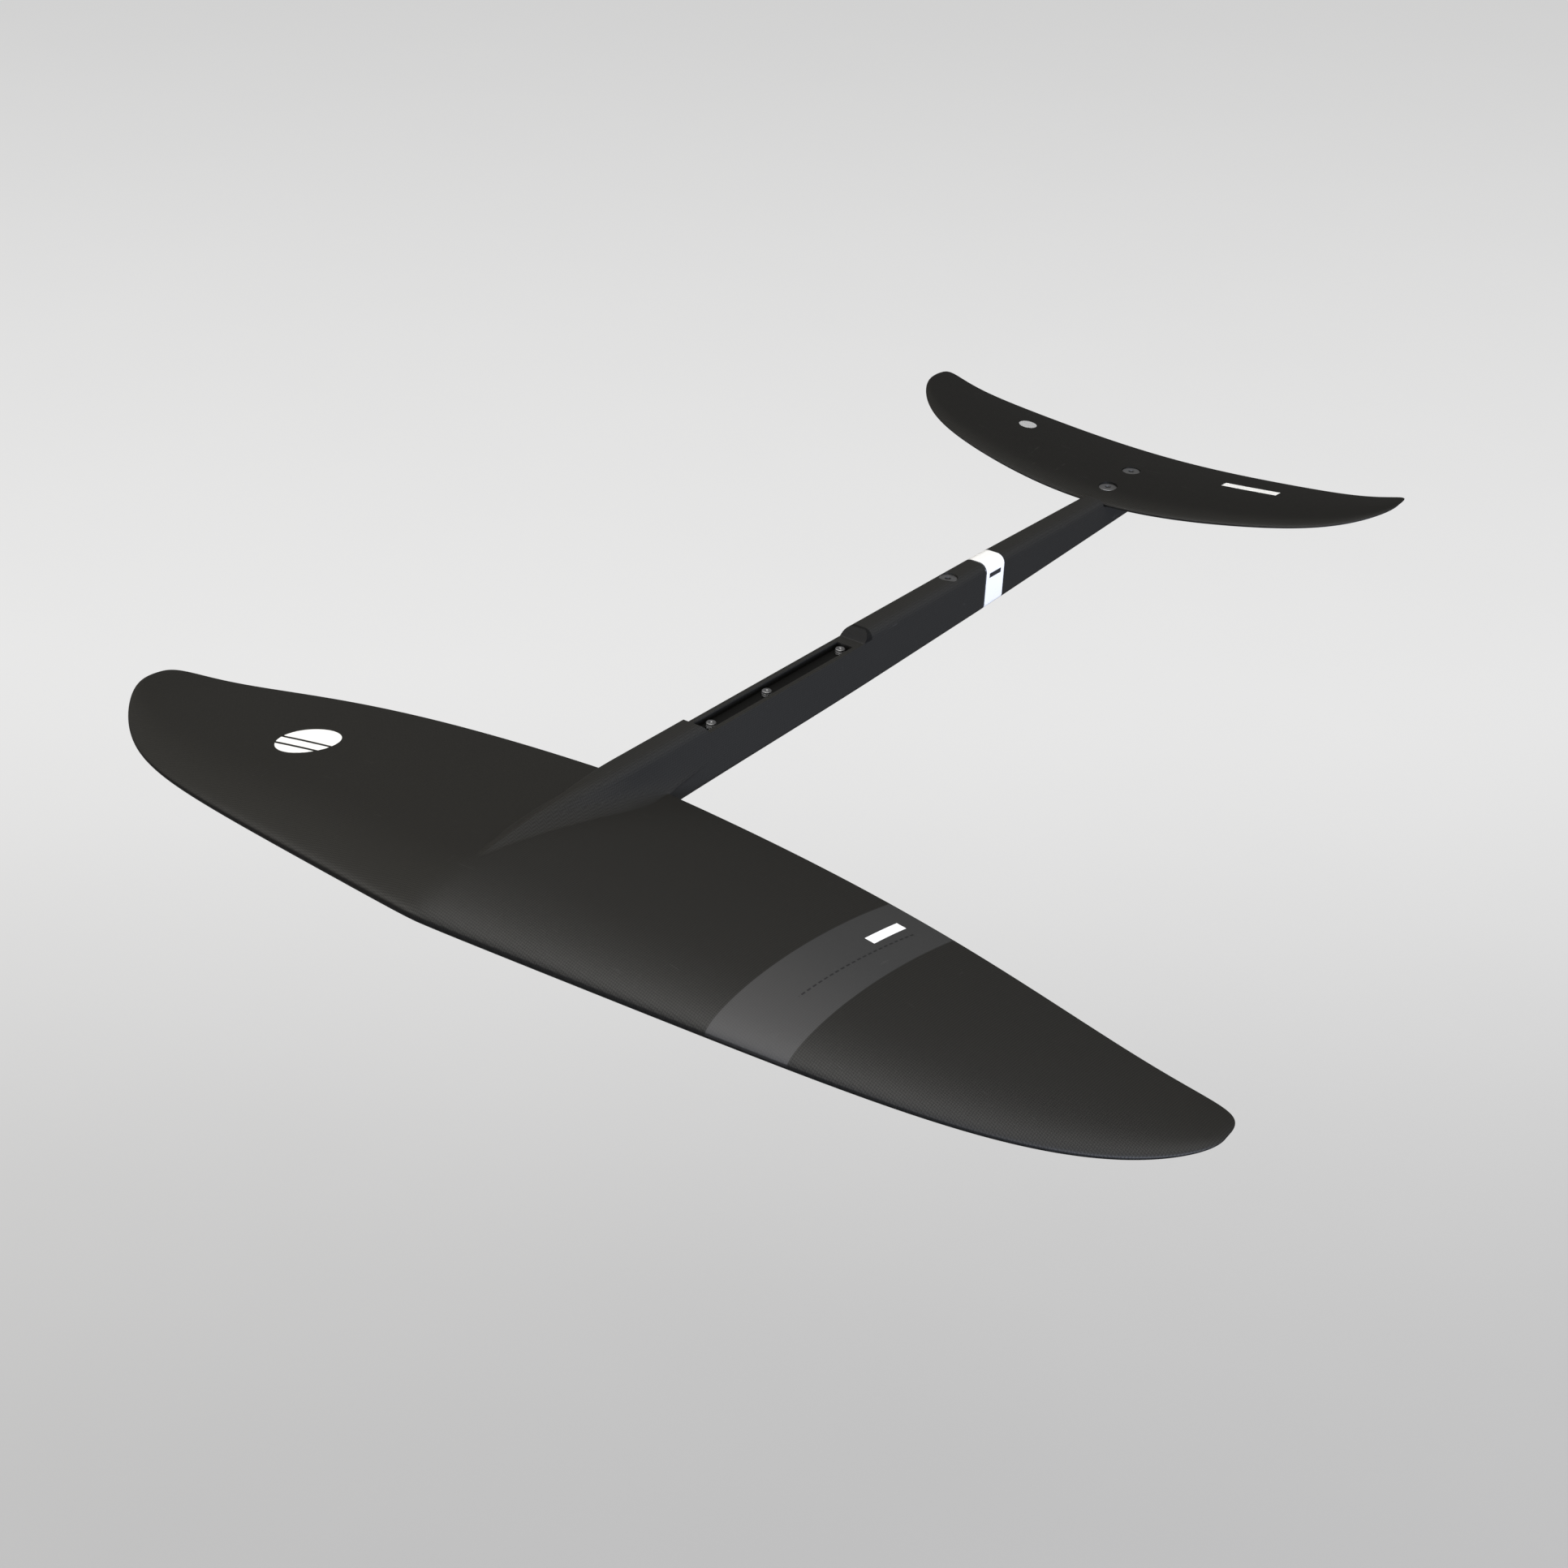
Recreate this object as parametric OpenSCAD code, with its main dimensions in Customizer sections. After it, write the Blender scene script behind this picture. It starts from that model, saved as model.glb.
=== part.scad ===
// Hydrofoil front wing and fuselage with a bolt-on stabilizer, in millimetres.
// X runs across the span, Y runs aft, Z is up.
// The origin is the middle of the mast seat, on the seat floor.

/* [Front wing] */
// Tip to tip width of the front wing
wing_span = 764; // [700:1:820]
// Chord of the front wing on the centre line
wing_chord = 192; // [180:1:200]
// Greatest thickness of the front wing over its chord
wing_thickness = 0.12; // [0.11:0.005:0.13]
// Distance of the wing's 40 percent chord point ahead of the mast seat
wing_y = -237; // [-240:1:-234]
// Height of the wing's chord line at the centre
wing_z = -12.5; // [-13:0.1:-12]
// Thickness of the carbon skins at the root
skin_t = 1.8; // [1.5:0.1:2.2]

/* [Stabilizer] */
// Tip to tip width of the stabilizer
stab_span = 362; // [330:1:390]
// Chord of the stabilizer on the centre line
stab_chord = 96.2; // [95:0.1:97]
// Greatest thickness of the stabilizer over its chord
stab_thickness = 0.08; // [0.075:0.005:0.085]
// Distance of the stabilizer's 40 percent chord point aft of the mast seat
stab_y = 400; // [399:1:401]
// Height of the stabilizer's chord line at the centre
stab_z = 6.3; // [6:0.1:6.6]

/* [Fuselage] */
// Width of the fuselage
fuse_w = 18; // [17:0.5:19]
// Height of the fuselage back over the mast seat floor
crown_z = 10.8; // [10.4:0.1:11.2]
// Radius of the upper edges
top_r = 6; // [5:0.5:6]
// Radius of the lower edges
bottom_r = 3.5; // [3:0.5:4]
// Plane where the rear fuselage starts
joint_y = 213; // [211:1:215]

/* [Mast seat] */
// Length of the mast foot's footprint on the rims
seat_l = 154; // [152:1:156]
// Width of the channel
seat_w = 11.5; // [11:0.5:12.5]
// Height of the side rims over the channel floor
rim_h = 4.5; // [4:0.1:5]
// How far the screw tips stand over the channel floor
tip_h = 3.5; // [3:0.1:4]

/* [Screws] */
// Thread diameter of every screw
screw_d = 6; // [5:0.5:6]
// Diameter of the countersunk heads
head_d = 12; // [11:0.5:12]
// Length of the mast screws over everything
mast_screw_l = 25; // [24:1:26]

/* [Hidden] */
$fn = 48;

half = fuse_w / 2;
seat_y = stab_y - 0.4 * stab_chord;
tail_crown_z = crown_z - 2;
crown_fall = atan((crown_z - tail_crown_z) / (seat_y - joint_y));
head_h = (head_d - screw_d) / 2;
mast_screw_y = [-63.5, -10, 64.5];
joint_screw_y = 182;
keel_joint_z = -21;
front_keel_rise = 0.0362;
rear_keel_rise = 0.0475;
stab_screw_y = [380, 411];
insert_d = 9;
bore_gap = 0.3;
thread_l = tip_h - 1;
neck_d = screw_d - 1;
band_l = 23;
tenon_l = 62;
carbon = [0.16, 0.16, 0.15];
foam = [0.86, 0.80, 0.62];
steel = [0.62, 0.63, 0.64];
brass = [0.72, 0.58, 0.30];

// ---- wing shapes -------------------------------------------------------

// One wing: half span, chord, thickness ratio, reference point, chord law,
// tip law, sweep law, droop law and incidence law
front = [
  wing_span / 2, wing_chord, wing_thickness, [0, wing_y, wing_z],
  [1, -0.088, -0.156], [1.285, 0.371],
  [0.204, -0.138, 0.168, 0.004], [-0.141, 0.065, -0.150, 0.094],
  [0.57, -5.6]
];
rear = [
  stab_span / 2, stab_chord, stab_thickness, [0, stab_y, stab_z],
  [1, -0.603, 0.200], [6.5, 0.311],
  [0, 0.117, 0, 0.104], [0, 0.150, -0.083, 0.056],
  [-2.3, -1.1]
];

function soft(t) = sqrt(t * t + 0.0009) - 0.03;
function chord(w, t) =
  w[1] * (w[4][0] + w[4][1] * t * t + w[4][2] * pow(t, 4))
  * pow(max(1 - pow(t, w[5][0]), 0.0001), w[5][1]);
function law(k, t) =
  k[0] * soft(t) + k[1] * t * t + k[2] * pow(t, 4) + k[3] * pow(t, 8);
function mid_y(w, t) = w[3][1] + w[0] * law(w[6], t);
function mid_z(w, t) = w[3][2] + w[0] * law(w[7], t);
function twist(w, t) = w[8][0] + w[8][1] * t * t;

function half_t(x) =
  5 * (0.2969 * sqrt(x) - 0.126 * x - 0.3516 * x * x + 0.2843 * pow(x, 3)
  - 0.1036 * pow(x, 4));
function camber(x) = 0.1 * x * (1 - x);

// A point of the section: chord fraction f, height k times the half thickness
function at(w, x, f, k) =
  let (
    t = min(abs(x) / w[0], 0.9995),
    c = chord(w, t),
    u = (f - 0.4) * c,
    v = (camber(f) + k * (half_t(f) * w[2] + 0.0022 * f)) * c,
    a = twist(w, t)
  )
  [x, mid_y(w, t) + u * cos(a) + v * sin(a), mid_z(w, t) - u * sin(a) + v * cos(a)];

// Share of the half thickness that is left inside the skins
function inner(w, x) =
  let (h = w[2] * chord(w, min(abs(x) / w[0], 0.9995)) / 2)
  1 - skin_t / max(h, 2.6 * skin_t);

function spaced(a, b, n) = [for (i = [0:n]) a + (b - a) * (1 - cos(180 * i / n)) / 2];
function wing_x(w, n, e) =
  concat(
    [for (i = [n:-1:1]) -e * w[0] * pow(sin(90 * i / n), 0.85)],
    [0],
    [for (i = [1:n]) e * w[0] * pow(sin(90 * i / n), 0.85)]
  );

// Stretch of skin section, side 1 above and -1 below
function skin_ring(w, x, side) =
  let (k = side * inner(w, x))
  concat(
    [for (f = spaced(0, 1, 16)) at(w, x, f, side)],
    [at(w, x, 1, 0), at(w, x, 0.93, 0)],
    [for (f = spaced(0.93, 0.03, 10)) at(w, x, f, k)],
    [at(w, x, 0.03, 0)]
  );
function core_ring(w, x, f0, f1) =
  let (k = 0.94 * inner(w, x))
  concat(
    [for (f = spaced(f0, f1, 5)) at(w, x, f, k)],
    [for (f = spaced(f1, f0, 5)) at(w, x, f, -k)]
  );

// Closed body through rings of equal length, in order of rising x
module loft(rings, turn) {
  n = len(rings[0]);
  m = len(rings);
  sides = [for (i = [0:m - 2]) for (j = [0:n - 1])
    let (a = i * n + j, b = i * n + (j + 1) % n)
    each [[a, b, b + n], [a, b + n, a + n]]];
  ends = [[for (j = [n - 1:-1:0]) j], [for (j = [0:n - 1]) (m - 1) * n + j]];
  all = concat(sides, ends);
  faces = turn ? all : [for (f = all) [for (i = [len(f) - 1:-1:0]) f[i]]];
  polyhedron(points = [for (r = rings) each r], faces = faces, convexity = 6);
}

module skin(w, side, n) {
  loft([for (x = wing_x(w, n, 0.9995)) skin_ring(w, x, side)], side > 0);
}

module core(w, x0, x1, f0, f1, n) {
  loft([for (i = [0:n]) core_ring(w, x0 + (x1 - x0) * i / n, f0, f1)], true);
}

// ---- screws ------------------------------------------------------------

// Countersunk screw, head face on z = 0, waisted shank going down, full thread at the tip
module screw(l) {
  color(steel) difference() {
    union() {
      translate([0, 0, -0.6]) cylinder(d = head_d, h = 0.6);
      translate([0, 0, -0.6 - head_h]) cylinder(d1 = screw_d, d2 = head_d, h = head_h);
      translate([0, 0, 1 - l]) cylinder(d = neck_d, h = l - 1.6);
      translate([0, 0, 0.8 - l]) cylinder(d = screw_d, h = thread_l);
      translate([0, 0, -l]) cylinder(d1 = screw_d - 1.6, d2 = screw_d, h = 0.8);
    }
    translate([0, 0, -2.6]) cylinder(d = 4.6, h = 3, $fn = 6);
  }
}

// Hole for a countersunk screw with a well of the given depth over the head
module screw_hole(l, well) {
  translate([0, 0, -0.9]) cylinder(d = head_d + 2 * bore_gap, h = well + 0.9);
  translate([0, 0, -0.9 - head_h])
    cylinder(d1 = screw_d + 2 * bore_gap, d2 = head_d + 2 * bore_gap, h = head_h);
  translate([0, 0, -l - 1]) cylinder(d = screw_d + 2 * bore_gap, h = l);
}

module insert(h) {
  color(brass) difference() {
    cylinder(d = insert_d, h = h);
    translate([0, 0, -1]) cylinder(d = screw_d + 2 * bore_gap, h = h + 2);
  }
}

// ---- fuselage shapes ---------------------------------------------------

// Side view on the YZ plane, given width across X
module side_view(points, w) {
  rotate([90, 0, 90]) translate([0, 0, -w / 2]) linear_extrude(w) polygon(points);
}

// Bar along Y between y0 and y1 with rounded upper edges at height z
module rounded_back(w, z, y0, y1, r) {
  translate([0, y1, z]) rotate([90, 0, 0]) linear_extrude(y1 - y0) union() {
    translate([-w / 2 + r, -90]) square([w - 2 * r, 90]);
    translate([-w / 2, -90]) square([w, 90 - r]);
    for (s = [-1, 1]) translate([s * (w / 2 - r), -r]) circle(r);
  }
}

// Bar along Y over a keel line of the given slope, lower edges rounded
module rounded_keel(w, y0, y1, rise, r) {
  slope = atan(rise);
  translate([0, joint_y, keel_joint_z]) rotate([slope, 0, 0])
    translate([0, y1 - joint_y, 0]) rotate([90, 0, 0])
      linear_extrude(y1 - y0) union() {
        translate([-w / 2 + r, 0]) square([w - 2 * r, 90]);
        translate([-w / 2, r]) square([w, 90]);
        for (s = [-1, 1]) translate([s * (w / 2 - r), r]) circle(r);
      }
}

// Height of the keel line: straight under each half, a little steeper aft
function keel(y) =
  keel_joint_z + (y - joint_y) * (y < joint_y ? front_keel_rise : rear_keel_rise);

// Wing section with a margin all round, as the slot the wing passes through
function slot(w, gap, edge) = concat(
  [for (f = spaced(0, 1, 20)) let (p = at(w, 0, f, 1)) [p[1], p[2] + gap]],
  [let (p = at(w, 0, 1, 0)) [p[1] + 2 * gap, p[2]]],
  [for (f = spaced(1, 0, 20)) let (p = at(w, edge, f, -1)) [p[1], p[2] - gap]],
  [let (p = at(w, 0, 0, 0)) [p[1] - 2 * gap, p[2]]]
);

module front_body_side() {
  n = 16;
  y0 = wing_y - 30;
  ya = wing_y + 70;
  keel_y0 = wing_y - 20;
  keel_y1 = wing_y + 110;
  top = [for (i = [0:n]) let (s = i / n, y = y0 + (ya - y0) * s)
    [y, 2.5 + (crown_z - 2.5) * sin(90 * s)]];
  low = [for (i = [0:n]) let (s = i / n, y = keel_y1 + (keel_y0 - keel_y1) * s)
    [y, keel(keel_y1) + (-15 - keel(keel_y1)) * (1 - cos(90 * s))]];
  side_view(concat(
    top,
    [[joint_y, crown_z]],
    [[joint_y, keel(joint_y)]],
    low
  ), fuse_w + 1);
}

module front_fuselage() {
  color(carbon) difference() {
    intersection() {
      front_body_side();
      rounded_back(fuse_w, crown_z, wing_y - 60, joint_y, top_r);
      nose_plan();
      rounded_keel(fuse_w, wing_y - 60, joint_y + 10, front_keel_rise, bottom_r);
    }
    side_view(slot(front, 0.3, half), fuse_w + 2);
    mast_seat();
    for (y = mast_screw_y) translate([0, y, tip_h - mast_screw_l]) mirror([0, 0, 1])
      screw_hole(mast_screw_l + 2, 30);
    translate([0, joint_screw_y, crown_z - 1.2]) screw_hole(30, 6);
    tenon(0.3);
  }
}

// Plan view of the fuselage: pointed nose growing to full width
module nose_plan() {
  n = 14;
  y0 = wing_y - 30;
  y1 = wing_y + 95;
  right = [for (i = [0:n]) let (s = i / n) [0.8 + half * sin(90 * s), y0 + (y1 - y0) * s]];
  left = [for (i = [n:-1:0]) [-right[i][0], right[i][1]]];
  translate([0, 0, -70]) linear_extrude(140)
    polygon(concat(right, [[half + 1, joint_y + 10], [-half - 1, joint_y + 10]], left));
}

// Channel for the mast foot, and the flat rims its footprint is cut down to
module mast_seat() {
  y0 = -seat_l / 2;
  translate([-seat_w / 2, y0 + 1, 0]) cube([seat_w, seat_l - 9, 40]);
  step = crown_z - rim_h;
  curve = [for (i = [0:10]) let (s = i / 10) [8 * s, step * pow(sin(90 * s), 1.3)]];
  side_view(concat(
    [for (p = curve) [-y0 + p[0], rim_h + p[1]]],
    [[-y0 + 8, 40], [y0 - 7, 40]],
    [for (i = [10:-1:0]) [y0 + 1 - curve[i][0], rim_h + curve[i][1]]]
  ), fuse_w + 2);
}

module mast_screw(i) {
  translate([0, mast_screw_y[i], tip_h - mast_screw_l]) mirror([0, 0, 1]) screw(mast_screw_l);
}

module mast_screw_front() {
  mast_screw(0);
}

module mast_screw_middle() {
  mast_screw(1);
}

module mast_screw_rear() {
  mast_screw(2);
}

// Square tenon of the rear fuselage inside the front one
module tenon(gap) {
  translate([-5.5 - gap, joint_y - tenon_l - gap, -13 - gap])
    cube([11 + 2 * gap, tenon_l + gap, 16.5 + 2 * gap]);
}

// Bar with a straight crown falling aft over a straight keel, sides trimmed all round
module rear_bar(w, trim, r_top, r_bottom, y0, y1) {
  intersection() {
    translate([0, joint_y, crown_z - trim]) rotate([-crown_fall, 0, 0])
      rounded_back(w, 0, y0 - joint_y, y1 - joint_y, r_top);
    translate([0, 0, trim]) rounded_keel(w, joint_y - 5, 460, rear_keel_rise, r_bottom);
  }
}

module rear_fuselage() {
  tail_y = 447;
  tail = [for (i = [0:8]) let (s = i / 8) [tail_y - (tail_y - 396) * (1 - cos(90 * s)),
    4 + (keel(396) - 4) * sin(90 * s)]];
  color(carbon) difference() {
    union() {
      intersection() {
        side_view(concat(
          [[joint_y, 40], [tail_y, 40]], tail, [[joint_y, keel(joint_y)]]
        ), fuse_w + 1);
        rear_bar(fuse_w, 0, top_r, bottom_r, joint_y - 20, joint_y + 300);
      }
      tenon(0);
    }
    side_view(stab_slot(), fuse_w + 2);
    difference() {
      translate([-20, joint_y, -60]) cube([40, band_l, 90]);
      rear_bar(fuse_w - 1.6, 0.8, top_r - 0.8, bottom_r - 0.8, joint_y - 10, joint_y + 40);
    }
    translate([-5.6, joint_y + 40, -9.5]) cube([11.2, 105, 13]);
    translate([0, joint_screw_y, -13.1]) cylinder(d = insert_d + 0.6, h = 30);
    for (y = stab_screw_y) translate([0, y, -5.3]) cylinder(d = insert_d + 0.6, h = 30);
  }
}

// The stabilizer's lower face and everything over it
function stab_slot() = concat(
  [for (f = spaced(0, 1, 20)) let (p = at(rear, 0, f, -1)) [p[1], p[2] - 0.3]],
  [[stab_y + 80, stab_z + 4], [stab_y + 80, 60], [stab_y - 0.4 * stab_chord - 1, 60]],
  [let (p = at(rear, 0, 0, 0)) [p[1] - 1, p[2] + 0.3]]
);

module rear_fuselage_core() {
  color(foam) translate([-5.3, joint_y + 40.3, -9.2]) cube([10.6, 104.4, 12.4]);
}

module fuselage_band() {
  color([0.95, 0.95, 0.94]) difference() {
    intersection() {
      translate([-20, joint_y + 0.3, -60]) cube([40, band_l - 0.6, 90]);
      rear_bar(fuse_w, 0, top_r, bottom_r, joint_y - 10, joint_y + 40);
    }
    rear_bar(fuse_w - 1, 0.5, top_r - 0.5, bottom_r - 0.5, joint_y - 10, joint_y + 40);
  }
}

module fuselage_joint_screw() {
  translate([0, joint_screw_y, crown_z - 1.2]) screw(20);
}

module fuselage_joint_insert() {
  translate([0, joint_screw_y, -12.8]) insert(14);
}

// ---- wings -------------------------------------------------------------

module front_wing_upper_skin() {
  color(carbon) skin(front, 1, 24);
}

module front_wing_lower_skin() {
  color(carbon) skin(front, -1, 24);
}

module front_wing_spar() {
  color(carbon * 0.7) core(front, -0.86 * front[0], 0.86 * front[0], 0.29, 0.42, 24);
}

module front_wing_fore_core_left() {
  color(foam) core(front, -0.84 * front[0], -0.5, 0.045, 0.28, 12);
}

module front_wing_fore_core_right() {
  color(foam) core(front, 0.5, 0.84 * front[0], 0.045, 0.28, 12);
}

module front_wing_aft_core_left() {
  color(foam) core(front, -0.84 * front[0], -0.5, 0.43, 0.915, 12);
}

module front_wing_aft_core_right() {
  color(foam) core(front, 0.5, 0.84 * front[0], 0.43, 0.915, 12);
}

module stab_holes() {
  for (y = stab_screw_y) translate([0, y, stab_top(y) - 0.5]) screw_hole(20, 6);
}

// Height of the stabilizer's upper face on the centre line
function stab_top(y) = at(rear, 0, (y - stab_y) / stab_chord + 0.4, 1)[2];

module stabilizer_upper_skin() {
  color(carbon) difference() {
    skin(rear, 1, 18);
    stab_holes();
  }
}

module stabilizer_lower_skin() {
  color(carbon) difference() {
    skin(rear, -1, 18);
    stab_holes();
  }
}

module stabilizer_core_left() {
  color(foam) core(rear, -0.9 * rear[0], -12.5, 0.05, 0.9, 10);
}

module stabilizer_core_right() {
  color(foam) core(rear, 12.5, 0.9 * rear[0], 0.05, 0.9, 10);
}

module stabilizer_hardpoint() {
  color(carbon * 0.7) difference() {
    core(rear, -12, 12, 0.05, 0.9, 4);
    stab_holes();
  }
}

module stab_screw(i) {
  translate([0, stab_screw_y[i], stab_top(stab_screw_y[i]) - 0.5]) screw(16);
}

module stabilizer_screw_front() {
  stab_screw(0);
}

module stabilizer_screw_rear() {
  stab_screw(1);
}

module stab_insert(i) {
  translate([0, stab_screw_y[i], -5]) insert(9);
}

module stabilizer_insert_front() {
  stab_insert(0);
}

module stabilizer_insert_rear() {
  stab_insert(1);
}

front_wing_upper_skin();
front_wing_lower_skin();
front_wing_spar();
front_wing_fore_core_left();
front_wing_fore_core_right();
front_wing_aft_core_left();
front_wing_aft_core_right();
front_fuselage();
mast_screw_front();
mast_screw_middle();
mast_screw_rear();
rear_fuselage();
rear_fuselage_core();
fuselage_joint_screw();
fuselage_joint_insert();
fuselage_band();
stabilizer_upper_skin();
stabilizer_lower_skin();
stabilizer_core_left();
stabilizer_core_right();
stabilizer_hardpoint();
stabilizer_screw_front();
stabilizer_screw_rear();
stabilizer_insert_front();
stabilizer_insert_rear();
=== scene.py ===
"""Hydrofoil wing set: front wing moulded with its fuselage, tail piece and stabilizer.

Metres in Blender, millimetres in the sizes below. X runs across the span, Y runs aft,
Z is up, and the origin is the middle of the mast seat, on the seat floor.
"""
import math

import bpy
from mathutils import Matrix, Vector


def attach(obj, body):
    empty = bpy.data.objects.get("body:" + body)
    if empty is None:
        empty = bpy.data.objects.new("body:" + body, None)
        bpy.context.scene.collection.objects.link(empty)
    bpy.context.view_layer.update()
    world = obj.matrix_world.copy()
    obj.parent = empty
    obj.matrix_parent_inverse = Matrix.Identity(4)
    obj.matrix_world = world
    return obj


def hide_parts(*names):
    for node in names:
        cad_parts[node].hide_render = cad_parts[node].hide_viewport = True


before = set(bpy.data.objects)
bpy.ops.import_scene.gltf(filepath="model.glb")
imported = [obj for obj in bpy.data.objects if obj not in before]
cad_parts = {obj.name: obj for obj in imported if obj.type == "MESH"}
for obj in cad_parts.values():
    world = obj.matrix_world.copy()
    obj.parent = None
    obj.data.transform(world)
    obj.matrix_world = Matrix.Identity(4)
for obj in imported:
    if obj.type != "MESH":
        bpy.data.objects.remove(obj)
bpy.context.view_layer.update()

MM = 0.001
SMOOTH_ANGLE = math.radians(32)

# ---- sizes -------------------------------------------------------------------

FRONT = {
    "half": 382.0, "chord": 192.0, "thick": 0.12, "y": -237.0, "z": -12.5,
    "plan": (1.0, -0.088, -0.156), "tip": (1.285, 0.371),
    "sweep": (0.204, -0.138, 0.168, 0.004), "droop": (-0.141, 0.065, -0.150, 0.094),
    "twist": (0.57, -5.6),
}
REAR = {
    "half": 181.0, "chord": 96.2, "thick": 0.08, "y": 400.0, "z": 6.3,
    "plan": (1.0, -0.603, 0.200), "tip": (6.5, 0.311),
    "sweep": (0.0, 0.117, 0.0, 0.104), "droop": (0.0, 0.150, -0.083, 0.056),
    "twist": (-2.3, -1.1),
}
SKIN = 1.8
HALF_W = 9.0
CROWN = 10.8
TOP_R = 6.0
LOW_R = 3.5
JOINT_Y = 213.0
SEAT_FRONT = -76.0
SEAT_REAR = 77.0
STEP_L = 8.0
RIM = 4.5
CHANNEL_HALF = 5.75
CHANNEL_Y = (-75.95, 69.05)
MAST_SCREW_Y = (-63.5, -10.0, 64.5)
MAST_HEAD_Z = -21.5
MAST_SCREW_L = 25.0
JOINT_SCREW_Y = 182.0
JOINT_HEAD_Z = 9.6
STAB_SCREW_Y = (380.0, 411.0)
BAND = (213.3, 235.7)
RECESS_END = 236.0
TRIM = 0.8
STAB_SEAT_Y = 360.5
TAIL_Y = 447.0
TAIL_START = 396.0
TAIL_Z = 4.0
KEEL_JOINT_Z = -21.0
KEEL_SLOPE = (0.0362, 0.0475)
KEEL_FRONT_Y = -127.0
KEEL_NOSE_Z = -15.0
KEEL_NOSE_L = 130.0
ROOT_LE_Y = -313.8
NOSE_Y = -267.0
NOSE_HALF_W = 0.3
NOSE_CROWN = 2.5
NOSE_CROWN_L = 100.0
NOSE_FLANK_L = 125.0
SOCKET = ((-5.8, JOINT_Y - 62.3, -13.3), (5.8, JOINT_Y + 5, 3.8))
TENON = ((-5.5, JOINT_Y - 62, -13), (5.5, JOINT_Y + 6, 3.5))
CORE_SPACE = ((-5.6, JOINT_Y + 40, -9.5), (5.6, JOINT_Y + 145, 3.5))
INSERT_R = 4.8
BAND_WALL = 0.5

# ---- camera and studio, in metres and degrees --------------------------------

CAMERA_TURN = 38.198
CAMERA_RISE = 27.475
CAMERA_ROLL = 1.311
CAMERA_PLACE = (0.8505, -1.2215, 0.7423)
CAMERA_LENS = 65.07
CAMERA_SHIFT = (0.1, -0.033)
FLOOR_Z = -0.9
FLOOR_NEAR = (0.05, 1.9)
FLOOR_FAR = (1.7, 6.5)


# ---- wing shapes -------------------------------------------------------------

def soft(t):
    return math.sqrt(t * t + 0.0009) - 0.03


def law(k, t):
    return k[0] * soft(t) + k[1] * t ** 2 + k[2] * t ** 4 + k[3] * t ** 8


def share(wing, x):
    return min(abs(x) / wing["half"], 0.9995)


def chord(wing, t):
    a, b, c = wing["plan"]
    n, q = wing["tip"]
    return wing["chord"] * (a + b * t ** 2 + c * t ** 4) * max(1 - t ** n, 0.0001) ** q


def half_thickness(f):
    return 5 * (0.2969 * math.sqrt(f) - 0.126 * f - 0.3516 * f ** 2
                + 0.2843 * f ** 3 - 0.1036 * f ** 4)


def on_wing(wing, x, f, k):
    """Point of the section at x: chord share f, k times the half thickness up"""
    t = share(wing, x)
    c = chord(wing, t)
    a = math.radians(wing["twist"][0] + wing["twist"][1] * t * t)
    u = (f - 0.4) * c
    v = (0.1 * f * (1 - f) + k * (half_thickness(f) * wing["thick"] + 0.0022 * f)) * c
    y = wing["y"] + wing["half"] * law(wing["sweep"], t)
    z = wing["z"] + wing["half"] * law(wing["droop"], t)
    return Vector((x, y + u * math.cos(a) + v * math.sin(a),
                   z - u * math.sin(a) + v * math.cos(a)))


def inside_share(wing, x):
    h = wing["thick"] * chord(wing, share(wing, x)) / 2
    return 1 - SKIN / max(h, 2.6 * SKIN)


def ease(s):
    s = min(max(s, 0), 1)
    return s * s * (3 - 2 * s)


def eased(a, b, n):
    return [a + (b - a) * (1 - math.cos(math.pi * i / n)) / 2 for i in range(n + 1)]


def evenly(a, b, n):
    return [a + (b - a) * i / n for i in range(n + 1)]


def skin_ring(wing, x, side):
    """Closed section of one skin, and the chord share at each of its points"""
    k = side * inside_share(wing, x)
    outer = eased(0, 1, 44)
    inner = eased(0.93, 0.03, 18)
    ring = [(on_wing(wing, x, f, side), f) for f in outer]
    ring += [(on_wing(wing, x, 1, 0), 1), (on_wing(wing, x, 0.93, 0), 0.93)]
    ring += [(on_wing(wing, x, f, k), f) for f in inner]
    ring += [(on_wing(wing, x, 0.03, 0), 0.03)]
    return ring


# ---- modelling steps ---------------------------------------------------------

def let_go():
    """Nothing selected, and out of edit mode"""
    if bpy.context.mode != "OBJECT":
        bpy.ops.object.mode_set(mode="OBJECT")
    bpy.ops.object.select_all(action="DESELECT")


def take(piece):
    let_go()
    piece.select_set(True)
    bpy.context.view_layer.objects.active = piece


def close_up(piece):
    """Merge the seams, cap what is open, and turn the faces outwards"""
    take(piece)
    bpy.ops.object.mode_set(mode="EDIT")
    bpy.ops.mesh.select_all(action="SELECT")
    bpy.ops.mesh.remove_doubles(threshold=0.000002)
    bpy.ops.mesh.dissolve_degenerate(threshold=0.000001)
    bpy.ops.mesh.select_all(action="SELECT")
    bpy.ops.mesh.fill_holes(sides=0)
    bpy.ops.mesh.select_all(action="SELECT")
    bpy.ops.mesh.normals_make_consistent(inside=False)
    bpy.ops.object.mode_set(mode="OBJECT")


def smooth(piece, angle=SMOOTH_ANGLE):
    take(piece)
    bpy.ops.object.shade_smooth_by_angle(angle=angle)


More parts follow.
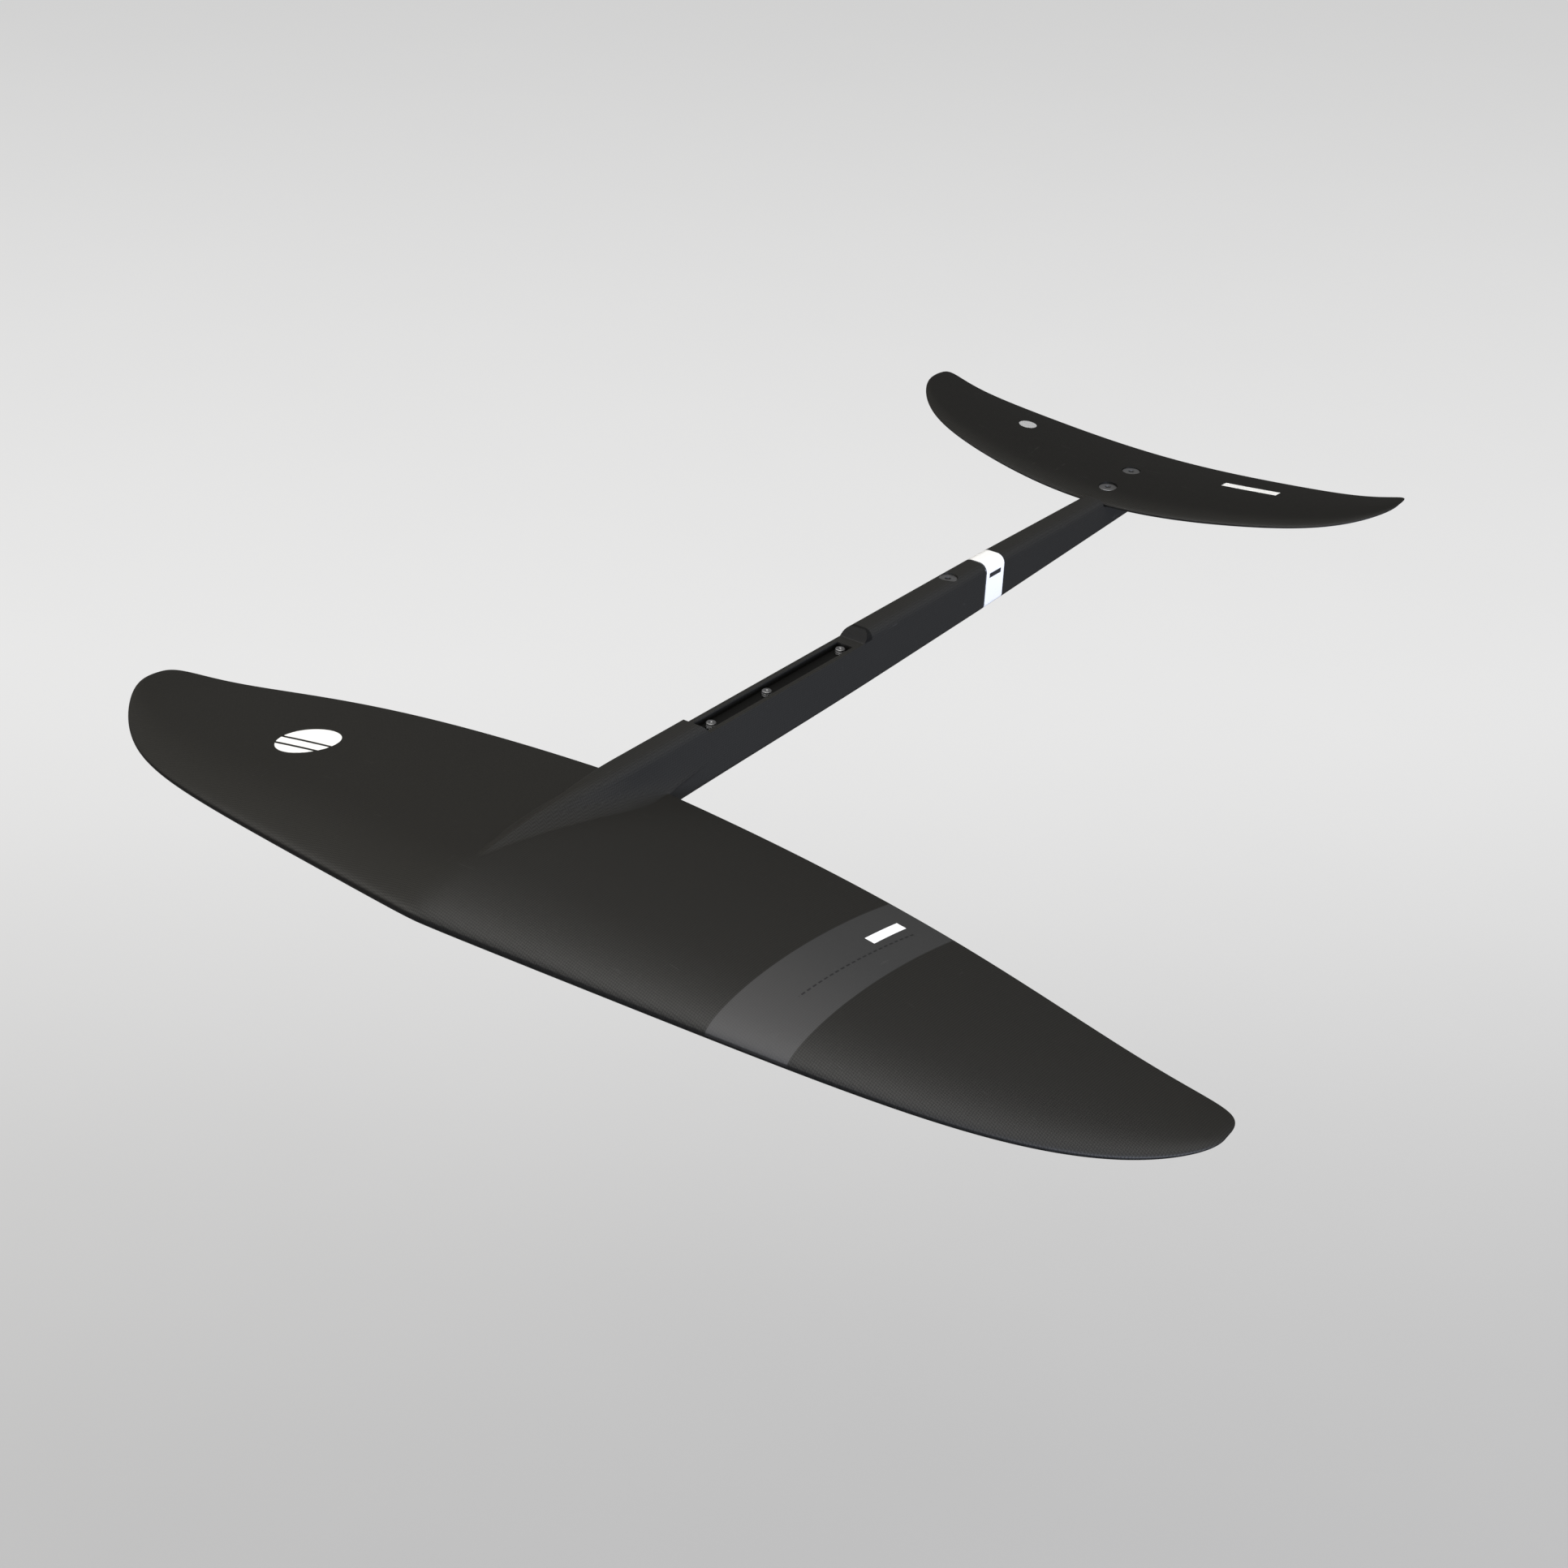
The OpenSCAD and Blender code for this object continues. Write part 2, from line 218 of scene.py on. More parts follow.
def loft(name, rings):
    """Grid drawn over closed rings of equal length, given as (point, mark) in millimetres"""
    columns = len(rings) - 1
    rows = len(rings[0])
    let_go()
    bpy.ops.mesh.primitive_grid_add(x_subdivisions=columns, y_subdivisions=rows, size=1)
    piece = bpy.context.object
    piece.name = name
    piece.data.name = name
    marks = []
    for v in piece.data.vertices:
        i = round((v.co.x + 0.5) * columns)
        j = round((v.co.y + 0.5) * rows) % rows
        point, mark = rings[i][j]
        marks.append((point[0] * MM, mark))
        v.co = Vector(point) * MM
    uv = piece.data.uv_layers[0]
    uv.name = "surface"
    for loop in piece.data.loops:
        uv.data[loop.index].uv = marks[loop.vertex_index]
    close_up(piece)
    return piece


def cut(piece, cutter, operation="DIFFERENCE"):
    """Boolean with a helper body, which is used up"""
    take(piece)
    step = piece.modifiers.new("cut", "BOOLEAN")
    step.operation = operation
    step.solver = "EXACT"
    step.object = cutter
    bpy.ops.object.modifier_apply(modifier=step.name)
    bpy.data.objects.remove(cutter)


def box_body(lowest, highest):
    let_go()
    centre = [(a + b) / 2 * MM for a, b in zip(lowest, highest)]
    size = [(b - a) * MM for a, b in zip(lowest, highest)]
    bpy.ops.mesh.primitive_cube_add(size=1, location=centre)
    body = bpy.context.object
    body.scale = size
    bpy.ops.object.transform_apply(location=True, rotation=True, scale=True)
    return body


def turned(name, profile, x, y, z, up=1, sides=64):
    """Body of revolution about Z: a disc extruded ring by ring over (radius, height) steps"""
    let_go()
    first_r, first_h = profile[0]
    bpy.ops.mesh.primitive_circle_add(
        vertices=sides, radius=first_r * MM, fill_type="NGON", location=(0, 0, first_h * MM))
    body = bpy.context.object
    bpy.ops.object.transform_apply(location=True, rotation=True, scale=True)
    bpy.ops.object.mode_set(mode="EDIT")
    bpy.ops.mesh.select_all(action="SELECT")
    radius, height = first_r, first_h
    for r, h in profile[1:]:
        bpy.ops.mesh.extrude_region_move(
            TRANSFORM_OT_translate={"value": (0, 0, (h - height) * MM)})
        size = r / radius
        bpy.ops.transform.resize(value=(size, size, 1), center_override=(0, 0, h * MM))
        radius, height = r, h
    bpy.ops.mesh.select_all(action="SELECT")
    bpy.ops.mesh.normals_make_consistent(inside=False)
    bpy.ops.object.mode_set(mode="OBJECT")
    body.name = name
    body.data.name = name
    place = Matrix.Translation((x * MM, y * MM, z * MM))
    if up < 0:
        place = place @ Matrix.Rotation(math.pi, 4, "X")
    body.data.transform(place)
    return body


# ---- fuselage shapes ---------------------------------------------------------

def keel(y):
    rise = KEEL_SLOPE[0] if y < JOINT_Y else KEEL_SLOPE[1]
    return KEEL_JOINT_Z + (y - JOINT_Y) * rise


def front_crown(y):
    s = min(max((y - NOSE_Y) / NOSE_CROWN_L, 0), 1)
    return NOSE_CROWN + (CROWN - NOSE_CROWN) * math.sin(math.pi / 2 * s)


def front_keel(y):
    if y > KEEL_FRONT_Y:
        return keel(y)
    s = min((KEEL_FRONT_Y - y) / KEEL_NOSE_L, 1)
    start = keel(KEEL_FRONT_Y)
    return start + (KEEL_NOSE_Z - start) * (1 - math.cos(math.pi / 2 * s))


def seat_cut(y):
    """Height the crown is cut down to for the mast foot"""
    if y < SEAT_FRONT:
        s = (SEAT_FRONT - y) / STEP_L
    elif y > SEAT_REAR:
        s = (y - SEAT_REAR) / STEP_L
    else:
        s = 0
    if s > 1:
        return CROWN
    return RIM + (CROWN - RIM) * math.sin(math.pi / 2 * s) ** 1.3


def flare(u, rise, tuck):
    """Height of a root fillet: rise at the flank (u 0), fading to nothing (u 1)"""
    return rise * (1 - math.sqrt(max(1 - (1 - u) ** (2 * tuck), 0)))


def half_section(w, top, cut_z, low, r_top, r_low, upper, lower, middle):
    """Right half of a section, crown to keel, through the side points given"""
    r_top = max(min(r_top, 0.9 * w), 0.02)
    r_low = max(min(r_low, 0.9 * w), 0.02)
    lift = min(max((cut_z - (top - r_top)) / r_top, 0), 1)
    start = math.acos(lift)
    points = [(0, cut_z), ((w - r_top + r_top * math.sin(start)) / 2, cut_z)]
    for a in evenly(start, math.pi / 2, 8):
        z = min(top - r_top + r_top * math.cos(a), cut_z)
        points.append((w - r_top + r_top * math.sin(a), max(z, low + r_low)))
    points = [Vector((x, 0, z)) for x, z in points] + upper + middle + lower
    for a in evenly(0, math.pi / 2, 6):
        points.append(Vector((w - r_low + r_low * math.cos(a), 0,
                              low + r_low - r_low * math.sin(a))))
    points += [Vector(((w - r_low) / 2, 0, low)), Vector((0, 0, low))]
    return points


def whole_ring(half, y):
    """Closed ring of a half section and its mirror image, all moved to y"""
    right = [Vector((p.x, p.y + y, p.z)) for p in half]
    left = [Vector((-p.x, p.y, p.z)) for p in reversed(right[1:-1])]
    return [(p, 0.5) for p in right + left]


FILLET_STEPS = 16
CROWN_POINTS = 11
ROOT_TE = on_wing(FRONT, HALF_W, 1, 0).y
FILLET_START = 1.0
FILLET_GROWTH = 16.0
FILLET_SPEED = 1.15
FILLET_RISE = 17.8
TURN_IN_FROM = 0.8
CHINE_W = 6.0
CHINE_L = 75.0
CHINE_TUCK = 0.72
TUCK_UNDER = 0.03
KEEL_EASE = 4.5
KEEL_EASE_L = 220.0
SQUARE_FROM = 0.30
SQUARE_OVER = 0.55


def root_fillet(w, y, side, reach, climb, edge, tuck, margin):
    """Fillet from the flank out over the wing, as offsets from the plane at y"""
    f = min(max((y - on_wing(FRONT, w, 0, 0).y) / chord(FRONT, share(FRONT, w)), 0), 1)
    f = min(max(f + (y - on_wing(FRONT, w, f, side).y) / FRONT["chord"], 0), 1)
    late = y - on_wing(FRONT, w, f, side).y
    base = on_wing(FRONT, w, f, side).z
    rise = min(climb, max(side * (edge - base), 0))
    points = []
    for i in range(FILLET_STEPS + 1):
        u = i / FILLET_STEPS
        p = on_wing(FRONT, w + reach * u, f, side)
        lift = flare(u, rise, tuck) - margin
        points.append(Vector((p.x, p.y + late - y, p.z + side * lift)))
    return points


def front_station(y, aft=False):
    """Ring of the front fuselage at y; aft of the wing the fillet runs out as a low chine"""
    s = min(max((y - NOSE_Y) / NOSE_FLANK_L, 0), 1)
    w = min(HALF_W, NOSE_HALF_W + HALF_W * math.sin(math.pi / 2 * s))
    along = min(max((y - NOSE_Y) / (ROOT_TE - NOSE_Y), 0), 1)
    if aft:
        reach = CHINE_W * (1 - min((y - ROOT_TE) / CHINE_L, 1)) ** 2.5
        climb, tuck, margin = FILLET_RISE, CHINE_TUCK, 0.0
        skin_top = skin_low = on_wing(FRONT, w, 1, 0).z
    else:
        turned_in = ease((along - TURN_IN_FROM) / 0.2)
        wide = FILLET_START + FILLET_GROWTH * along ** FILLET_SPEED
        reach = wide * (1 - turned_in) + CHINE_W * turned_in
        climb = reach * 1.05 * (1 - turned_in) + FILLET_RISE * turned_in
        tuck = (1 + 1.4 * along ** 4) * (1 - turned_in) + CHINE_TUCK * turned_in
        margin = TUCK_UNDER
        f = min(max((y - ROOT_LE_Y) / FRONT["chord"], 0.001), 1)
        skin_top = on_wing(FRONT, w, f, 1).z
        skin_low = on_wing(FRONT, w, f, -1).z
    top = front_crown(y)
    low = front_keel(y)
    if not aft:
        top = max(top, skin_top - 0.3)
        low = min(low, skin_low + 0.3)
    keel_r = LOW_R + KEEL_EASE * (1 - ease((y - ROOT_TE) / KEEL_EASE_L))
    r_top = min(TOP_R, max(0.6 * (top - skin_top), 0.05))
    r_low = min(keel_r, max(0.6 * (skin_low - low), 0.05))
    upper = root_fillet(w, y, 1, reach, climb, top - r_top, tuck, margin)
    lower = root_fillet(w, y, -1, reach, climb, low + r_low, tuck, margin)
    lower.reverse()
    middle = [(upper[-1] + lower[0]) / 2]
    cut_z = min(top, seat_cut(y))
    half = half_section(w, top, cut_z, low, r_top, r_low, upper, lower, middle)
    squared = ease((along - SQUARE_FROM) / SQUARE_OVER)
    if squared < 1:
        count = CROWN_POINTS + len(upper)
        half[:count] = blend_ridge(half[:count], y, w + reach, top, squared)
    return whole_ring(half, y)


def blend_ridge(points, y, width, top, squared):
    """Nose of the fairing: a low ridge over the wing, turning into the squarer body"""
    f0 = min(max((y - on_wing(FRONT, 0, 0, 0).y) / FRONT["chord"], 0), 1)
    blended = []
    for i, p in enumerate(points):
        v = i / (len(points) - 1)
        x = width * v
        base = on_wing(FRONT, x, f0, 1)
        over = (top - on_wing(FRONT, 0, f0, 1).z) * (1 - v) ** 2 * (1 + 1.5 * v)
        late = base.y - on_wing(FRONT, 0, f0, 1).y
        ridge = Vector((x, late, base.z + over - TUCK_UNDER))
        blended.append(ridge.lerp(p, squared))
    return blended


def front_body():
    """Front fuselage with its wing root, mast seat and screw holes"""
    stations = evenly(NOSE_Y - 3, NOSE_Y + 12, 8) + evenly(NOSE_Y + 15, ROOT_TE - 6, 40)
    stations += evenly(ROOT_TE - 4, ROOT_TE, 3)
    rings = [front_station(y) for y in stations]
    after = [ROOT_TE + 30 * (i / 12) ** 1.5 for i in range(13)]
    after += evenly(ROOT_TE + 33, SEAT_FRONT - STEP_L - 1, 2)
    after += evenly(SEAT_FRONT - STEP_L, SEAT_FRONT, 12)
    after += evenly(SEAT_FRONT + 8, SEAT_REAR - 8, 8)
    after += evenly(SEAT_REAR, SEAT_REAR + STEP_L, 12)
    after += evenly(SEAT_REAR + STEP_L + 1, JOINT_Y - 0.4, 6)
    after.append(JOINT_Y)
    rings += [front_station(y, True) for y in after]
    body = loft("front_fuselage_body", rings)
    low, high = CHANNEL_Y
    cut(body, box_body((-CHANNEL_HALF, low, 0), (CHANNEL_HALF, high, 30)))
    for y in MAST_SCREW_Y:
        cut(body, screw_hole(y, MAST_HEAD_Z, 27, 20, -1))
    cut(body, screw_hole(JOINT_SCREW_Y, JOINT_HEAD_Z, 24, 6, 1))
    cut(body, box_body(*SOCKET))
    ease_channel(body)
    smooth(body)
    return body


def ease_channel(body):
    """Small chamfer round the mouth of the mast channel"""
    take(body)
    bpy.ops.object.mode_set(mode="EDIT")
    bpy.ops.mesh.select_mode(type="EDGE")
    bpy.ops.mesh.select_all(action="DESELECT")
    bpy.ops.object.mode_set(mode="OBJECT")
    mesh = body.data
    for e in mesh.edges:
        ends = [mesh.vertices[i].co / MM for i in e.vertices]
        on_rim = all(abs(p.z - RIM) < 0.02 for p in ends)
        on_wall = all(abs(abs(p.x) - CHANNEL_HALF) < 0.02 for p in ends)
        e.select = on_rim and on_wall and abs(ends[0].x - ends[1].x) < 1
    bpy.ops.object.mode_set(mode="EDIT")
    bpy.ops.mesh.bevel(offset=0.35 * MM, segments=2, affect="EDGES")
    bpy.ops.object.mode_set(mode="OBJECT")


def screw_hole(y, head_z, length, well, up):
    """Clearance body for a countersunk screw: shank hole, cone and well over the head"""
    profile = [(3.3, -length), (3.3, -3.9), (6.3, -0.9), (6.3, well)]
    return turned("hole", profile, 0, y, head_z, up)


def rear_crown(y):
    return CROWN - (y - JOINT_Y) * 2 / 148.52


def rear_keel(y):
    if y <= TAIL_START:
        return keel(y)
    c = 1 - (TAIL_Y - y) / (TAIL_Y - TAIL_START)
    return TAIL_Z + (keel(TAIL_START) - TAIL_Z) * math.sqrt(max(1 - c * c, 0))


def stab_underside(y):
    f = min(max((y - REAR["y"]) / REAR["chord"] + 0.4, 0), 1)
    return on_wing(REAR, 0, f, -1).z


def rear_station(y, trim=0.0, seated=False):
    """Ring of the rear fuselage at y, trimmed under the band or cut to the stabilizer"""
    w = HALF_W - trim
    top = rear_crown(y) - trim
    low = rear_keel(y) + trim
    cut_z = min(top, stab_underside(y) - 0.3) if seated else top
    r_low = min(LOW_R - trim, 0.45 * (cut_z - low))
    side = [Vector((w, 0, z)) for z in (-1.0, -4.0)]
    if seated:
        z1 = low + r_low
        z0 = max(min(cut_z, top - TOP_R), z1)
        side = [Vector((w, 0, z0 + (z1 - z0) * s)) for s in (0.3, 0.6)]
    return whole_ring(
        half_section(w, top, cut_z, low, TOP_R - trim, r_low, side, [], []), y)


def rear_body():
    """Rear fuselage with its tenon, band recess and stabilizer seat"""
    rings = [rear_station(y, TRIM) for y in (JOINT_Y, JOINT_Y + 12, RECESS_END)]
    rings += [rear_station(y) for y in evenly(RECESS_END, STAB_SEAT_Y, 10)]
    rings += [rear_station(y, 0, True) for y in evenly(STAB_SEAT_Y, TAIL_START, 13)]
    tail = [TAIL_START + (TAIL_Y - TAIL_START) * math.sin(math.pi / 2 * i / 23)
            for i in range(1, 24)]
    rings += [rear_station(y, 0, True) for y in tail]
    body = loft("rear_fuselage_body", rings)
    cut(body, box_body(*TENON), "UNION")
    cut(body, box_body(*CORE_SPACE))
    cut(body, turned("hole", [(INSERT_R, -13.1), (INSERT_R, 20)], 0, JOINT_SCREW_Y, 0))
    for y in STAB_SCREW_Y:
        cut(body, turned("hole", [(INSERT_R, -5.3), (INSERT_R, 20)], 0, y, 0))
    smooth(body)
    return body


def band_body():
    """Thin wrap round the joint, following the section of the fuselage"""
    y0, y1 = BAND
    e = 0.12
    lay = [(y0, e), (y0 + e, 0), (y1 - e, 0), (y1, e), (y1, BAND_WALL), (y0, BAND_WALL)]
    loops = [rear_station(y, t) for y, t in lay]
    rings = [[loops[j][i] for j in range(len(lay))] for i in range(len(loops[0]))]
    rings.append(rings[0])
    body = loft("joint_band", rings)
    smooth(body)
    return body


# ---- wings -------------------------------------------------------------------

def skin_body(name, wing, side, columns):
    edge = wing["half"] * 0.9995
    span = [edge * math.sin(math.pi / 2 * i / columns) for i in range(-columns, columns + 1)]
    return loft(name, [skin_ring(wing, x, side) for x in span])


def stab_top(y):
    return on_wing(REAR, 0, (y - REAR["y"]) / REAR["chord"] + 0.4, 1).z


def stab_skin(name, side):
    body = skin_body(name, REAR, side, 60)
    for y in STAB_SCREW_Y:
        cut(body, screw_hole(y, stab_top(y) - 0.5, 20, 6, 1))
    smooth(body)
    return body


# ---- screws ------------------------------------------------------------------

def screw(name, length, y, z, up):
    """Countersunk screw: head, waisted shank, cut thread at the tip, hexagon socket"""
    profile = [(2.6, -length), (2.95, -length + 0.35)]
    h = -length + 0.8
    while h < -length + 3.2:
        profile += [(3.0, h), (3.0, h + 0.2), (2.62, h + 0.42), (2.62, h + 0.5)]
        h += 0.75
    profile += [(2.5, h + 0.1), (2.5, -4.2), (3.0, -3.6), (5.9, -0.7)]
    profile += [(6.0, -0.55), (6.0, -0.22), (5.8, -0.04), (5.6, 0), (3.4, 0)]
    body = turned(name, profile, 0, y, z, up)
    socket = turned("socket", [(2.3, -2.6), (2.3, 0.4)], 0, y, z, up, 6)
    cut(body, socket)
    smooth(body)
    return body


def tip_dimple(body, y, length, z):
    """Centre mark left in the end of a screw"""
    top = z + length
    cut(body, turned("dimple", [(0.3, -0.8), (1.3, 0.2)], 0, y, top, 1, 32))
    smooth(body)


# ---- node helpers ------------------------------------------------------------

def feed(tree, value, socket):
    """Give a socket another socket's output, or a plain value"""
    if isinstance(value, bpy.types.NodeSocket):
        tree.links.new(value, socket)
    else:
        socket.default_value = value


def calc(tree, operation, *values, clamp=False):
    node = tree.nodes.new("ShaderNodeMath")
    node.operation = operation
    node.use_clamp = clamp
    for value, socket in zip(values, node.inputs):
        feed(tree, value, socket)
    return node.outputs[0]


def blend_tone(tree, share_in, a, b):
    node = tree.nodes.new("ShaderNodeMix")
    node.data_type = "RGBA"
    feed(tree, share_in, node.inputs["Factor"])
    feed(tree, a, node.inputs["A"])
    feed(tree, b, node.inputs["B"])
    return next(s for s in node.outputs if s.type == "RGBA")


def blend_value(tree, share_in, a, b):
    step = calc(tree, "SUBTRACT", b, a)
    return calc(tree, "MULTIPLY_ADD", share_in, step, a)


def ramp(tree, value, low, high, out_low=0.0, out_high=1.0):
    node = tree.nodes.new("ShaderNodeMapRange")
    node.interpolation_type = "SMOOTHSTEP"
    feed(tree, value, node.inputs["Value"])
    node.inputs["From Min"].default_value = low
    node.inputs["From Max"].default_value = high
    node.inputs["To Min"].default_value = out_low
    node.inputs["To Max"].default_value = out_high
    return node.outputs["Result"]


def between(tree, value, low, high, soft_edge):
    """1 between two places and 0 outside them"""
    rise = ramp(tree, value, low - soft_edge, low + soft_edge)
    fall = ramp(tree, value, high - soft_edge, high + soft_edge)
    return calc(tree, "SUBTRACT", rise, fall, clamp=True)


def split(tree, vector):
    node = tree.nodes.new("ShaderNodeSeparateXYZ")
    feed(tree, vector, node.inputs[0])
    return node.outputs[0], node.outputs[1], node.outputs[2]


def join_xyz(tree, x, y, z):
    node = tree.nodes.new("ShaderNodeCombineXYZ")
    feed(tree, x, node.inputs[0])
    feed(tree, y, node.inputs[1])
    feed(tree, z, node.inputs[2])
    return node.outputs[0]


def scaled(tree, vector, size):
    node = tree.nodes.new("ShaderNodeMapping")
    feed(tree, vector, node.inputs["Vector"])
    node.inputs["Scale"].default_value = size
    return node.outputs[0]


def noise(tree, vector, scale, detail=3.0, rough=0.55):
    node = tree.nodes.new("ShaderNodeTexNoise")
    feed(tree, vector, node.inputs["Vector"])
    node.inputs["Scale"].default_value = scale
    node.inputs["Detail"].default_value = detail
    node.inputs["Roughness"].default_value = rough
    return node.outputs[0]


def new_group(name, inputs, outputs):
    tree = bpy.data.node_groups.new(name, "ShaderNodeTree")
    for label, kind, value in inputs:
        socket = tree.interface.new_socket(name=label, in_out="INPUT", socket_type=kind)
        if value is not None:
            socket.default_value = value
    for label in outputs:
        tree.interface.new_socket(name=label, in_out="OUTPUT", socket_type="NodeSocketFloat")
    return tree, tree.nodes.new("NodeGroupInput"), tree.nodes.new("NodeGroupOutput")


def use_group(tree, group, **values):
    node = tree.nodes.new("ShaderNodeGroup")
    node.node_tree = group
    for label, value in values.items():
        feed(tree, value, node.inputs[label])
    return node.outputs


# ---- shared effects ----------------------------------------------------------

def make_cloth_group():
    """Woven cloth under clear resin: a repeat of 2 is plain weave, 4 is two-over twill"""
    tree, start, end = new_group(
        "woven_cloth",
        [("Place", "NodeSocketVector", None), ("Yarn", "NodeSocketFloat", 0.0016),
         ("Repeat", "NodeSocketFloat", 4.0)],
        ["Sheen", "Height"])
    place, yarn, repeat = start.outputs[0], start.outputs[1], start.outputs[2]
    x, y, _ = split(tree, place)
    across = calc(tree, "DIVIDE", x, yarn)
    along = calc(tree, "DIVIDE", y, yarn)
    cell = calc(tree, "ADD", calc(tree, "FLOOR", across), calc(tree, "FLOOR", along))
    step = calc(tree, "FLOORED_MODULO", cell, repeat)
    over = calc(tree, "LESS_THAN", step, calc(tree, "MULTIPLY_ADD", repeat, 0.5, -0.5))
    round_a = calc(tree, "SINE", calc(tree, "MULTIPLY", calc(tree, "FRACT", across), math.pi))
    round_b = calc(tree, "SINE", calc(tree, "MULTIPLY", calc(tree, "FRACT", along), math.pi))
    height = blend_value(tree, over, round_b, round_a)
    fibre = noise(tree, scaled(tree, place, (900, 900, 900)), 1.0, 2.0)
    sheen = calc(tree, "MULTIPLY", height, calc(tree, "MULTIPLY_ADD", fibre, 0.5, 0.75))
    feed(tree, sheen, end.inputs["Sheen"])
    feed(tree, height, end.inputs["Height"])
    return tree


def make_uneven_group():
    """Slow cloudy change with long faint streaks, as in hand-laid laminate"""
    tree, start, end = new_group(
        "hand_laid", [("Place", "NodeSocketVector", None)], ["Cloud", "Streak", "Speck"])
    place = start.outputs[0]
    cloud = noise(tree, scaled(tree, place, (9, 9, 9)), 1.0, 3.0)
    streak = noise(tree, scaled(tree, place, (14, 160, 60)), 1.0, 4.0, 0.65)
    speck = noise(tree, scaled(tree, place, (650, 650, 650)), 1.0, 2.0)
    feed(tree, cloud, end.inputs["Cloud"])
    feed(tree, streak, end.inputs["Streak"])
    feed(tree, speck, end.inputs["Speck"])
    return tree


def make_rub_group():
    """Thin scratches from handling, gathered in patches"""
    tree, start, end = new_group("rubbed", [("Place", "NodeSocketVector", None)], ["Scratch"])
    place = start.outputs[0]
    fine = noise(tree, scaled(tree, place, (40, 900, 300)), 1.0, 2.0, 0.5)
    cross = noise(tree, scaled(tree, place, (900, 60, 300)), 1.0, 2.0, 0.5)
    both = calc(tree, "MAXIMUM", ramp(tree, fine, 0.70, 0.76), ramp(tree, cross, 0.71, 0.77))
    patch = ramp(tree, noise(tree, scaled(tree, place, (25, 25, 25)), 1.0, 4.0), 0.45, 0.7)
    feed(tree, calc(tree, "MULTIPLY", both, patch), end.inputs["Scratch"])
    return tree


CLOTH = make_cloth_group()
UNEVEN = make_uneven_group()
RUB = make_rub_group()


# ---- materials ---------------------------------------------------------------

def tone(r, g, b):
    """Linear colour of an eight-bit one"""
    out = []
    for v in (r, g, b):
        v /= 255
        out.append(v / 12.92 if v <= 0.04045 else ((v + 0.055) / 1.055) ** 2.4)
    return (*out, 1.0)


def new_finish(name):
    """Fresh material: its tree, its shader and the object coordinates"""
    material = bpy.data.materials.new(name)
    material.use_nodes = True
    tree = material.node_tree
    shader = tree.nodes["Principled BSDF"]
    where = tree.nodes.new("ShaderNodeTexCoord").outputs["Object"]
    return material, tree, shader, where


def add_bump(tree, shader, height, distance, strength=1.0):
    node = tree.nodes.new("ShaderNodeBump")
    node.inputs["Distance"].default_value = distance
    node.inputs["Strength"].default_value = strength
    feed(tree, height, node.inputs["Height"])
    tree.links.new(node.outputs[0], shader.inputs["Normal"])


# LIFTED is the lighter end of the random cloudiness; towards the leading edge it is also
# painted light
DARK = tone(25, 24, 22)
LIFTED = tone(28, 27, 25)
# The stabilizer's tones are darker copies of the wing's carbon: painted shade
STAB_SHADED_DARK = tone(11, 10, 9)
STAB_SHADED_LIFTED = tone(17, 16, 14)
STRIPE = tone(84, 83, 80)
WHITE = tone(246, 246, 244)
# Near-black used only for painted shade: the leading edge's nose, the keel, the mast channel
# and the step face
PAINTED_SHADE_DARK = tone(10, 10, 10)
LOW_GLOSS = 0.14
WEAVE_TONE = tone(78, 77, 72)
STRIPE_X = (0.1612, 0.2030)
RULE_X = (0.1839, 0.1848)
RULE_Y = (-0.232, -0.134)
RULE_SLANT = -0.043
RULE_OFFSET = -0.0099
DASH = 0.0046
TAB = (0.1765, 0.1825, -0.163, -0.133)
WING_DISC = (-0.193, -0.194, 0.0195)
DISC_GAPS_Y = (-0.1955, -0.2045)
GAP_HALF = 0.0011
STAB_DISC = (-0.093, 0.427, 0.0062)
STAB_TAB = (0.062, 0.102, 0.4235, 0.4305)
# Areas given painted shade: the inside of the mast channel and the step face behind the seat
SEAT_BOX = (-0.0058, 0.0058, -0.0761, 0.0691)
STEP_BOX = (-0.010, 0.010, 0.0772, 0.0853)
BAND_EDGE = 0.0009
LABEL_INSET = 0.0045
LABEL_Z = (0.0002, 0.0034)


